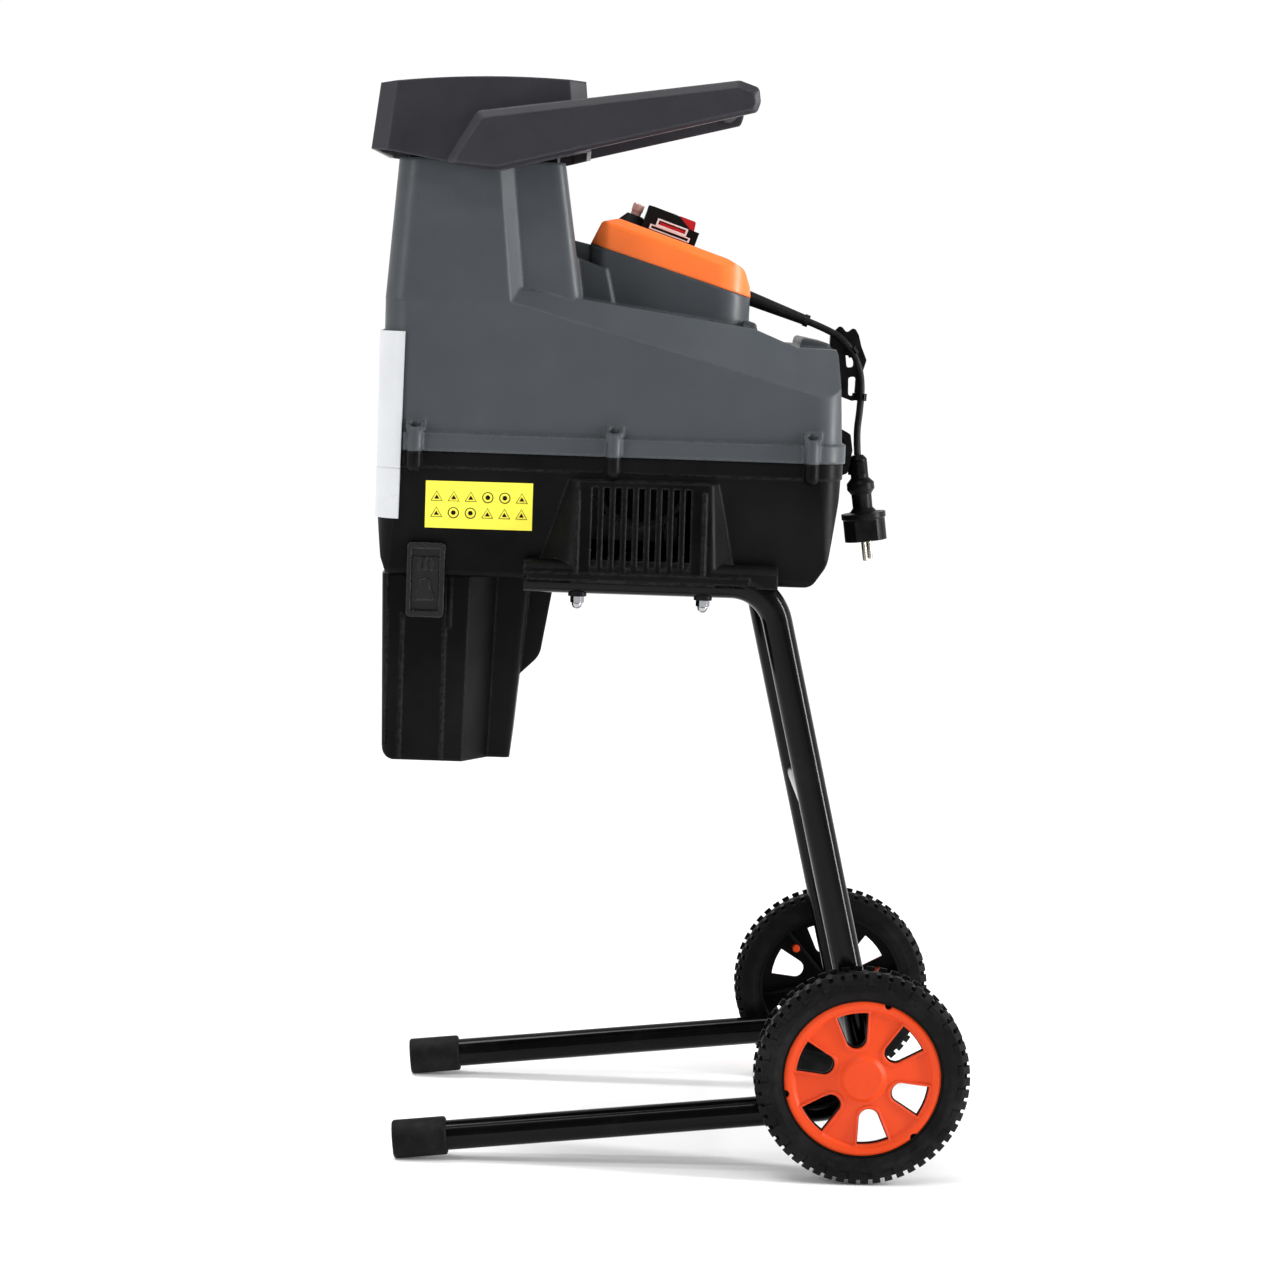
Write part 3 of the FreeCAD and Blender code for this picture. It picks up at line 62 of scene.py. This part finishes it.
def add_camera():
    """Long lens, a little above the middle of the machine, looking at its left side."""
    data = bpy.data.cameras.new("camera")
    data.sensor_width = SENSOR_WIDTH
    data.lens = LENS
    data.clip_end = FAR_CLIP
    camera = bpy.data.objects.new("camera", data)
    scene.collection.objects.link(camera)
    ahead = Vector((math.sin(YAW) * math.cos(PITCH), math.cos(YAW) * math.cos(PITCH), -math.sin(PITCH)))
    level = Vector((math.cos(YAW), -math.sin(YAW), 0.0))
    upright = level.cross(ahead)
    right = level * math.cos(ROLL) + upright * math.sin(ROLL)
    up = upright * math.cos(ROLL) - level * math.sin(ROLL)
    turn = Matrix((right, up, -ahead)).transposed().to_4x4()
    camera.matrix_world = Matrix.Translation(CAMERA_PLACE) @ turn
    scene.camera = camera


add_camera()


# ---------------------------------------------------------------- power cord, in mm as in the part's source
CORD_Y = -8.0
CORD_R = 3.4
CORD_POINTS = [(128.5, 789.5), (147.0, 783.0), (164.0, 771.0), (175.0, 754.0),
               (180.0, 733.0), (179.0, 706.0), (176.6, 684.0), (178.6, 663.4)]
GLAND_START = (60.0, 813.5)
LENGTH_IN_GLAND = 20.0


def add_cord():
    """The rubber lead: one smooth curve from inside the gland to the plug."""
    exit_x, exit_z = CORD_POINTS[0]
    run_x = exit_x - GLAND_START[0]
    run_z = exit_z - GLAND_START[1]
    run = math.hypot(run_x, run_z)
    first = (exit_x - LENGTH_IN_GLAND * run_x / run, exit_z - LENGTH_IN_GLAND * run_z / run)
    points = [first] + CORD_POINTS[1:]
    data = bpy.data.curves.new("power_lead", "CURVE")
    data.dimensions = "3D"
    spline = data.splines.new("NURBS")
    spline.points.add(len(points) - 1)
    for point, (x, z) in zip(spline.points, points):
        point.co = (x * MM, CORD_Y * MM, z * MM, 1.0)
    spline.order_u = 3
    spline.use_endpoint_u = True
    data.resolution_u = 24
    data.bevel_depth = CORD_R * MM
    data.bevel_resolution = 8
    data.use_fill_caps = True
    lead = bpy.data.objects.new("power_lead", data)
    scene.collection.objects.link(lead)
    return lead


lead = add_cord()
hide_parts("power_cord")
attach(lead, "machine")


# ---------------------------------------------------------------- materials
def linear(code):
    """Linear colour from a six-digit sRGB code."""
    out = []
    for i in (0, 2, 4):
        c = int(code[i:i + 2], 16) / 255.0
        out.append(c / 12.92 if c <= 0.04045 else ((c + 0.055) / 1.055) ** 2.4)
    return out


def toned(colour, factor, lift=0.0):
    """The colour times factor plus lift, never over white."""
    return [min(1.0, c * factor + lift) for c in colour]


def ranged(tree, source, low, high, from_low=0.0, from_high=1.0):
    """Map Range node: from_low..from_high of the source becomes low..high, clamped."""
    node = tree.nodes.new("ShaderNodeMapRange")
    node.inputs["From Min"].default_value = from_low
    node.inputs["From Max"].default_value = from_high
    node.inputs["To Min"].default_value = low
    node.inputs["To Max"].default_value = high
    tree.links.new(source, node.inputs["Value"])
    return node.outputs["Result"]


def product(tree, source, factor):
    """Multiply node: the source times a number, or times another node's output."""
    node = tree.nodes.new("ShaderNodeMath")
    node.operation = "MULTIPLY"
    tree.links.new(source, node.inputs[0])
    if isinstance(factor, float):
        node.inputs[1].default_value = factor
    else:
        tree.links.new(factor, node.inputs[1])
    return node.outputs[0]


class Graph:
    """One material, with the shader nodes that the looks below are made of."""

    def __init__(self, name):
        self.material = bpy.data.materials.new(name)
        self.material.use_nodes = True
        self.tree = self.material.node_tree
        self.shader = self.tree.nodes["Principled BSDF"]
        coords = self.tree.nodes.new("ShaderNodeTexCoord")
        self.place = coords.outputs["Object"]

    def add(self, kind, **values):
        node = self.tree.nodes.new(kind)
        for key, value in values.items():
            setattr(node, key, value)
        return node

    def link(self, source, target):
        self.tree.links.new(source, target)

    def drive(self, **sources):
        """Joins node outputs to the shader's inputs; Base_Color stands for Base Color."""
        for key, source in sources.items():
            self.link(source, self.shader.inputs[key.replace("_", " ")])

    def fix(self, **values):
        """Sets plain numbers on the shader's inputs, named as in drive."""
        for key, value in values.items():
            self.shader.inputs[key.replace("_", " ")].default_value = value

    def noise(self, scale, detail=3.0, roughness=0.5):
        node = self.add("ShaderNodeTexNoise")
        node.inputs["Scale"].default_value = scale
        node.inputs["Detail"].default_value = detail
        node.inputs["Roughness"].default_value = roughness
        self.link(self.place, node.inputs["Vector"])
        return node.outputs["Fac"]

    def ranged(self, source, low, high, from_low=0.0, from_high=1.0):
        return ranged(self.tree, source, low, high, from_low, from_high)

    def patches(self, start, full, scale, detail, roughness):
        """Noise as a mask, which is 0 up to start and 1 from full."""
        return self.ranged(self.noise(scale, detail, roughness), 0.0, 1.0, start, full)

    def mixed(self, factor, a, b):
        """Colour that goes from a to b; each is a colour or a node's output."""
        node = self.add("ShaderNodeMix", data_type="RGBA")
        self.link(factor, node.inputs[0])
        for socket, value in ((node.inputs[6], a), (node.inputs[7], b)):
            if isinstance(value, (list, tuple)):
                socket.default_value = tuple(value) + (1.0,)
            else:
                self.link(value, socket)
        return node.outputs[2]

    def rounded(self, radius):
        """Normal that rounds every edge off to this radius."""
        soft = self.add("ShaderNodeBevel", samples=6)
        soft.inputs["Radius"].default_value = radius
        return soft.outputs["Normal"]

    def edge_mask(self, soft):
        """1 where the rounded normal turns away from the flat one, which is along edges."""
        shape = self.add("ShaderNodeNewGeometry")
        dot = self.add("ShaderNodeVectorMath", operation="DOT_PRODUCT")
        self.link(soft, dot.inputs[0])
        self.link(shape.outputs["Normal"], dot.inputs[1])
        return self.ranged(dot.outputs["Value"], 1.0, 0.0, from_low=0.86, from_high=0.995)

    def bump(self, height, strength, distance, normal):
        node = self.add("ShaderNodeBump")
        node.inputs["Strength"].default_value = strength
        node.inputs["Distance"].default_value = distance
        self.link(height, node.inputs["Height"])
        self.link(normal, node.inputs["Normal"])
        return node.outputs["Normal"]


def plastic(name, code, rough=0.45, grain=900.0, grain_depth=0.25, edge=0.0009,
            edge_wear_and_highlight=0.35, coat=0.0, spec=0.5):
    """Moulded plastic: fine spark grain, cloudy gloss and patchily lighter edges, partly rubbed wear and
    partly a painted highlight.
    """
    g = Graph(name)
    colour = linear(code)
    soft = g.rounded(edge)
    cloud = g.patches(0.35, 0.65, scale=9.0, detail=5.0, roughness=0.6)
    rubs = g.patches(0.40, 0.62, scale=260.0, detail=4.0, roughness=0.7)
    smear = g.noise(scale=40.0, detail=4.0, roughness=0.65)
    spark = g.noise(scale=grain, detail=2.0, roughness=0.6)
    base = g.mixed(cloud, colour, toned(colour, 1.10, 0.004))
    # Lighter colour along rounded edges, in patches: partly rubbed wear, partly a painted highlight for
    # light caught on the edges.
    edge_wear_and_highlight_mix = product(g.tree, product(g.tree, g.edge_mask(soft), rubs), edge_wear_and_highlight)
    g.drive(Base_Color=g.mixed(edge_wear_and_highlight_mix, base, toned(colour, 1.45, 0.04)),
            Roughness=g.ranged(smear, rough - 0.06, rough + 0.07, from_low=0.3, from_high=0.7),
            Normal=g.bump(spark, strength=grain_depth, distance=0.0003, normal=soft))
    g.fix(Specular_IOR_Level=spec, Coat_Weight=coat, Coat_Roughness=0.12)
    return g.material


def enamel(name, code, spec=0.12):
    """Gloss paint on steel: slight orange peel under a thin, patchy dust."""
    g = Graph(name)
    colour = linear(code)
    peel = g.noise(scale=160.0, detail=2.0, roughness=0.4)
    dust = g.patches(0.52, 0.80, scale=22.0, detail=6.0, roughness=0.7)
    g.drive(Base_Color=g.mixed(dust, colour, toned(colour, 1.0, 0.004)),
            Roughness=g.ranged(dust, 0.13, 0.24),
            Normal=g.bump(peel, strength=0.08, distance=0.0004, normal=g.rounded(0.0006)))
    g.fix(Specular_IOR_Level=spec)
    return g.material


def rubber(name, code, rough=0.7, grain=700.0, depth=0.35, spec=0.35):
    """Rubber: matt and patchily dusty, with a mould-grained skin."""
    g = Graph(name)
    colour = linear(code)
    dust = g.patches(0.45, 0.75, scale=28.0, detail=6.0, roughness=0.7)
    gloss = g.noise(scale=90.0, detail=3.0, roughness=0.6)
    skin = g.noise(scale=grain, detail=3.0, roughness=0.6)
    g.drive(Base_Color=g.mixed(dust, colour, toned(colour, 1.4, 0.010)),
            Roughness=g.ranged(gloss, rough - 0.08, rough + 0.08, from_low=0.3, from_high=0.7),
            Normal=g.bump(skin, strength=depth, distance=0.0004, normal=g.rounded(0.0007)))
    g.fix(Specular_IOR_Level=spec)
    return g.material


def metal(name, code, rough=0.3, brushed=0.0, anisotropy=0.0):
    """Bare or plated metal: fine machining lines and smudges."""
    g = Graph(name)
    colour = linear(code)
    smudge = g.patches(0.35, 0.70, scale=60.0, detail=5.0, roughness=0.65)
    stretch = g.add("ShaderNodeMapping")
    stretch.inputs["Scale"].default_value = (1.0, 30.0, 1.0)
    g.link(g.place, stretch.inputs["Vector"])
    lines = g.add("ShaderNodeTexNoise")
    lines.inputs["Scale"].default_value = 140.0
    g.link(stretch.outputs["Vector"], lines.inputs["Vector"])
    g.drive(Base_Color=g.mixed(smudge, colour, toned(colour, 0.82)),
            Roughness=g.ranged(smudge, rough - 0.05, rough + 0.12),
            Normal=g.bump(lines.outputs["Fac"], strength=0.05 + brushed, distance=0.0002,
                          normal=g.rounded(0.0004)))
    g.fix(Metallic=1.0, Anisotropic=anisotropy)
    return g.material


# In the plastics, the edge strength argument sets the painted edge highlight, which also stands for rubbed
# wear.
LOOKS = {
    "frame_black": enamel("frame_black", "060607"),
    "rubber_cap": rubber("rubber_cap", "09090b", rough=0.62, spec=0.12),
    "chrome": metal("chrome", "a8aaae", rough=0.08),
    "washer_black": plastic("washer_black", "08080a", rough=0.35, spec=0.1),
    "steel": metal("steel", "9a9ca0", rough=0.32, brushed=0.2, anisotropy=0.4),
    "zinc_screw": metal("zinc_screw", "38393c", rough=0.35),
    "tyre": rubber("tyre", "09090a", rough=0.52, grain=520.0, depth=0.4, spec=0.10),
    "wheel_black": plastic("wheel_black", "09090a", rough=0.5, spec=0.08),
    "wheel_orange": plastic("wheel_orange", "d23d03", rough=0.42, grain=1100.0, grain_depth=0.10,
                            edge=0.0022, edge_wear_and_highlight=0.30, spec=0.25),
    "housing_black": plastic("housing_black", "040405", rough=0.36, grain=800.0, grain_depth=0.18,
                             edge=0.0035, edge_wear_and_highlight=0.60, spec=0.075),
    "housing_grey": plastic("housing_grey", "3a3e42", rough=0.40, grain=800.0, grain_depth=0.22,
                            edge=0.0050, edge_wear_and_highlight=0.60, spec=0.32),
    "hood_charcoal": plastic("hood_charcoal", "222127", rough=0.40, grain=800.0, grain_depth=0.22,
                             edge=0.0030, edge_wear_and_highlight=0.60, spec=0.32),
    "grip": rubber("grip", "161618", rough=0.7, spec=0.12),
    "funnel_black": plastic("funnel_black", "141416", rough=0.55, edge_wear_and_highlight=0.6, spec=0.2),
    "panel_silver": plastic("panel_silver", "c6c8cb", rough=0.32, grain=1600.0, grain_depth=0.08,
                            edge=0.002, edge_wear_and_highlight=0.2, coat=0.2, spec=0.4),
    "label_yellow": plastic("label_yellow", "fbea4c", rough=0.38, grain=300.0, grain_depth=0.03,
                            edge=0.0002, spec=0.2),
    "panel_orange": plastic("panel_orange", "ff7630", rough=0.34, grain=1200.0, grain_depth=0.08,
                            edge=0.0035, edge_wear_and_highlight=0.30, spec=0.35),
    "switch_black": plastic("switch_black", "060607", rough=0.30, grain=1500.0, grain_depth=0.08,
                            spec=0.12),
    "switch_white": plastic("switch_white", "d4d4d8", rough=0.35, grain=1500.0, grain_depth=0.05),
    "switch_red": plastic("switch_red", "a80c14", rough=0.30, grain=1500.0, grain_depth=0.05, spec=0.3),
    "switch_green": plastic("switch_green", "128a34", rough=0.30, grain=1500.0, grain_depth=0.05),
    "reset_clear": plastic("reset_clear", "d0a8a4", rough=0.15, grain=1500.0, grain_depth=0.03, coat=0.6),
    "boot_rubber": rubber("boot_rubber", "0a0a0b", rough=0.55, spec=0.12),
    "cord_black": rubber("cord_black", "0c0c0d", rough=0.45, grain=330.0, depth=1.0, spec=0.18),
    "plug_black": rubber("plug_black", "050506", rough=0.36, grain=900.0, depth=0.2, spec=0.10),
    "pin_nickel": metal("pin_nickel", "a9a59a", rough=0.22),
    # The latch gets the full painted edge highlight, so its black edges read as lit.
    "latch_black": plastic("latch_black", "09090b", rough=0.28, grain=1200.0, grain_depth=0.12,
                           edge=0.0016, edge_wear_and_highlight=1.0, spec=0.30),
    "motor_case": enamel("motor_case", "0e0f11", spec=0.15),
    "gear_steel": metal("gear_steel", "85868a", rough=0.3, brushed=0.1),
    "cast_grey": plastic("cast_grey", "3c3d3f", rough=0.6, grain=350.0, grain_depth=0.7, spec=0.2),
    "gearbox_alloy": metal("gearbox_alloy", "a4a6aa", rough=0.42, brushed=0.1),
    "fan_plastic": plastic("fan_plastic", "0a0a0b", rough=0.5, spec=0.1),
    "capacitor_can": metal("capacitor_can", "c6c8cc", rough=0.28),
}

for part in frame["record"]["subparts"]:
    piece = nodes[part["node"]]
    piece.data.materials.clear()
    piece.data.materials.append(LOOKS[part["material_slot"]])
lead.data.materials.append(LOOKS["cord_black"])


# ---------------------------------------------------------------- label marks
ROWS, COLUMNS = 2, 6
TOP_MARGIN = 0.33       # of the plate's height, to the middle of the first row
ROW_PITCH = 0.34        # of the plate's height
COLUMNS_ACROSS = 6.3    # column pitches in the plate's width
LEFT_MARGIN = 0.66      # of a column's pitch, to the middle of the first column
PLATE_THICK = 0.0005
MARK_CLEAR = 0.0001     # how far the marks' backs stand off the plate's face
MARK_THICK = 0.00012
LINE_WIDTH = 0.0009
RING_CORNERS, RING_R = 28, 0.0052
TRIANGLE_CORNERS, TRIANGLE_R = 3, 0.0064
TRIANGLE_DROP = 0.0012
DOT_SHARE, DOT_WIDTH_SHARE = 0.42, 0.40     # of the mark's radius


def outline_band(corners, radius, centre, width):
    """Raised flat band inside a regular polygon's edge, in the XZ plane, facing -Y, one corner up."""
    vertices = []
    faces = []
    for i in range(corners):
        angle = math.pi / 2 + 2 * math.pi * i / corners
        for r in (radius, radius - width):
            for depth in (0.0, MARK_THICK):
                place = (centre[0] + r * math.cos(angle), centre[1] - depth, centre[2] + r * math.sin(angle))
                vertices.append(place)
    count = 4 * corners
    for i in range(corners):
        a = 4 * i
        b = (a + 4) % count
        faces.append((a + 1, a + 3, b + 3, b + 1))
        faces.append((a, a + 1, b + 1, b))
        faces.append((a + 2, b + 2, b + 3, a + 3))
        faces.append((a, b, b + 2, a + 2))
    return vertices, faces


def add_label_marks():
    """Two rows of plain triangles and rings, with nothing written in them."""
    low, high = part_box("label_plate")
    width = high[0] - low[0]
    height = high[2] - low[2]
    lean = high[1] - low[1] - PLATE_THICK
    pitch = width / COLUMNS_ACROSS
    vertices = []
    faces = []
    for row in range(ROWS):
        z = high[2] - (TOP_MARGIN + ROW_PITCH * row) * height
        y = high[1] - PLATE_THICK - MARK_CLEAR - lean * (z - low[2]) / height
        for column in range(COLUMNS):
            x = low[0] + pitch * (column + LEFT_MARGIN)
            if (column + 2 * row) % 5 > 2:
                corners, radius, drop = RING_CORNERS, RING_R, 0.0
            else:
                corners, radius, drop = TRIANGLE_CORNERS, TRIANGLE_R, TRIANGLE_DROP
            for size, band in ((radius, LINE_WIDTH), (radius * DOT_SHARE, radius * DOT_WIDTH_SHARE)):
                band_vertices, band_faces = outline_band(corners, size, (x, y, z - drop), band)
                faces += [tuple(i + len(vertices) for i in face) for face in band_faces]
                vertices += band_vertices
    mesh = bpy.data.meshes.new("label_marks")
    mesh.from_pydata(vertices, [], faces)
    mesh.update()
    mesh.materials.append(LOOKS["switch_black"])
    marks = bpy.data.objects.new("label_marks", mesh)
    scene.collection.objects.link(marks)
    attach(marks, "machine")


# ---------------------------------------------------------------- floor and light
WHITE = (1.0, 1.0, 1.0, 1.0)
FLOOR_HALF = 40.0
FLOOR_DROP = 0.0005
FLOOR_GLOW = 0.05
SUN_POWER = 1.7
SUN_WIDTH = math.radians(26.0)
TO_SUN = (-0.30, 0.10, 1.0)
# name, place, point it faces, size, watts
STRIPS = [("side_strip", (2.6, -0.7, 1.1), (0.1, 0.0, 0.7), (0.25, 1.8), 80.0),
          ("front_strip", (-2.1, -2.0, 1.6), (0.0, 0.0, 0.6), (0.6, 1.6), 24.0),
          ("top_strip", (0.0, -1.3, 2.6), (0.0, 0.0, 0.5), (2.8, 0.22), 18.0)]


def add_floor():
    """White floor, just under the wheels, with a trace of its own light."""
    h = FLOOR_HALF
    mesh = bpy.data.meshes.new("floor")
    mesh.from_pydata([(-h, -h, 0), (h, -h, 0), (h, h, 0), (-h, h, 0)], [], [(0, 1, 2, 3)])
    floor = bpy.data.objects.new("floor", mesh)
    floor.location.z = -FLOOR_DROP
    scene.collection.objects.link(floor)
    g = Graph("floor_white")
    g.drive(Base_Color=g.mixed(g.noise(scale=1.5), (0.94, 0.94, 0.94), (0.97, 0.97, 0.97)))
    g.fix(Emission_Color=WHITE, Emission_Strength=FLOOR_GLOW, Roughness=0.9, Specular_IOR_Level=0.1)
    mesh.materials.append(g.material)


def add_world():
    """White studio, dimmer overhead and on the camera's side."""
    world = bpy.data.worlds.new("studio")
    world.use_nodes = True
    tree = world.node_tree
    coords = tree.nodes.new("ShaderNodeTexCoord")
    split = tree.nodes.new("ShaderNodeSeparateXYZ")
    tree.links.new(coords.outputs["Generated"], split.inputs[0])
    overhead = ranged(tree, split.outputs["Z"], 1.02, 0.60, from_low=0.22, from_high=0.55)
    in_front = ranged(tree, split.outputs["Y"], 0.22, 1.0, from_low=-0.80, from_high=-0.10)
    background = tree.nodes["Background"]
    background.inputs["Color"].default_value = WHITE
    tree.links.new(product(tree, overhead, in_front), background.inputs["Strength"])
    scene.world = world


def add_lights():
    """One soft key from above, and three strips that draw the highlights."""
    sun = bpy.data.lights.new("key", "SUN")
    sun.energy = SUN_POWER
    sun.angle = SUN_WIDTH
    key = bpy.data.objects.new("key", sun)
    key.rotation_euler = Vector(TO_SUN).to_track_quat("Z", "Y").to_euler()
    scene.collection.objects.link(key)
    for name, place, target, size, power in STRIPS:
        data = bpy.data.lights.new(name, "AREA")
        data.shape = "RECTANGLE"
        data.size, data.size_y = size
        data.energy = power
        light = bpy.data.objects.new(name, data)
        light.location = place
        light.rotation_euler = (Vector(target) - Vector(place)).to_track_quat("-Z", "Y").to_euler()
        scene.collection.objects.link(light)


add_label_marks()
add_floor()
add_world()
add_lights()
scene.view_settings.view_transform = "Standard"
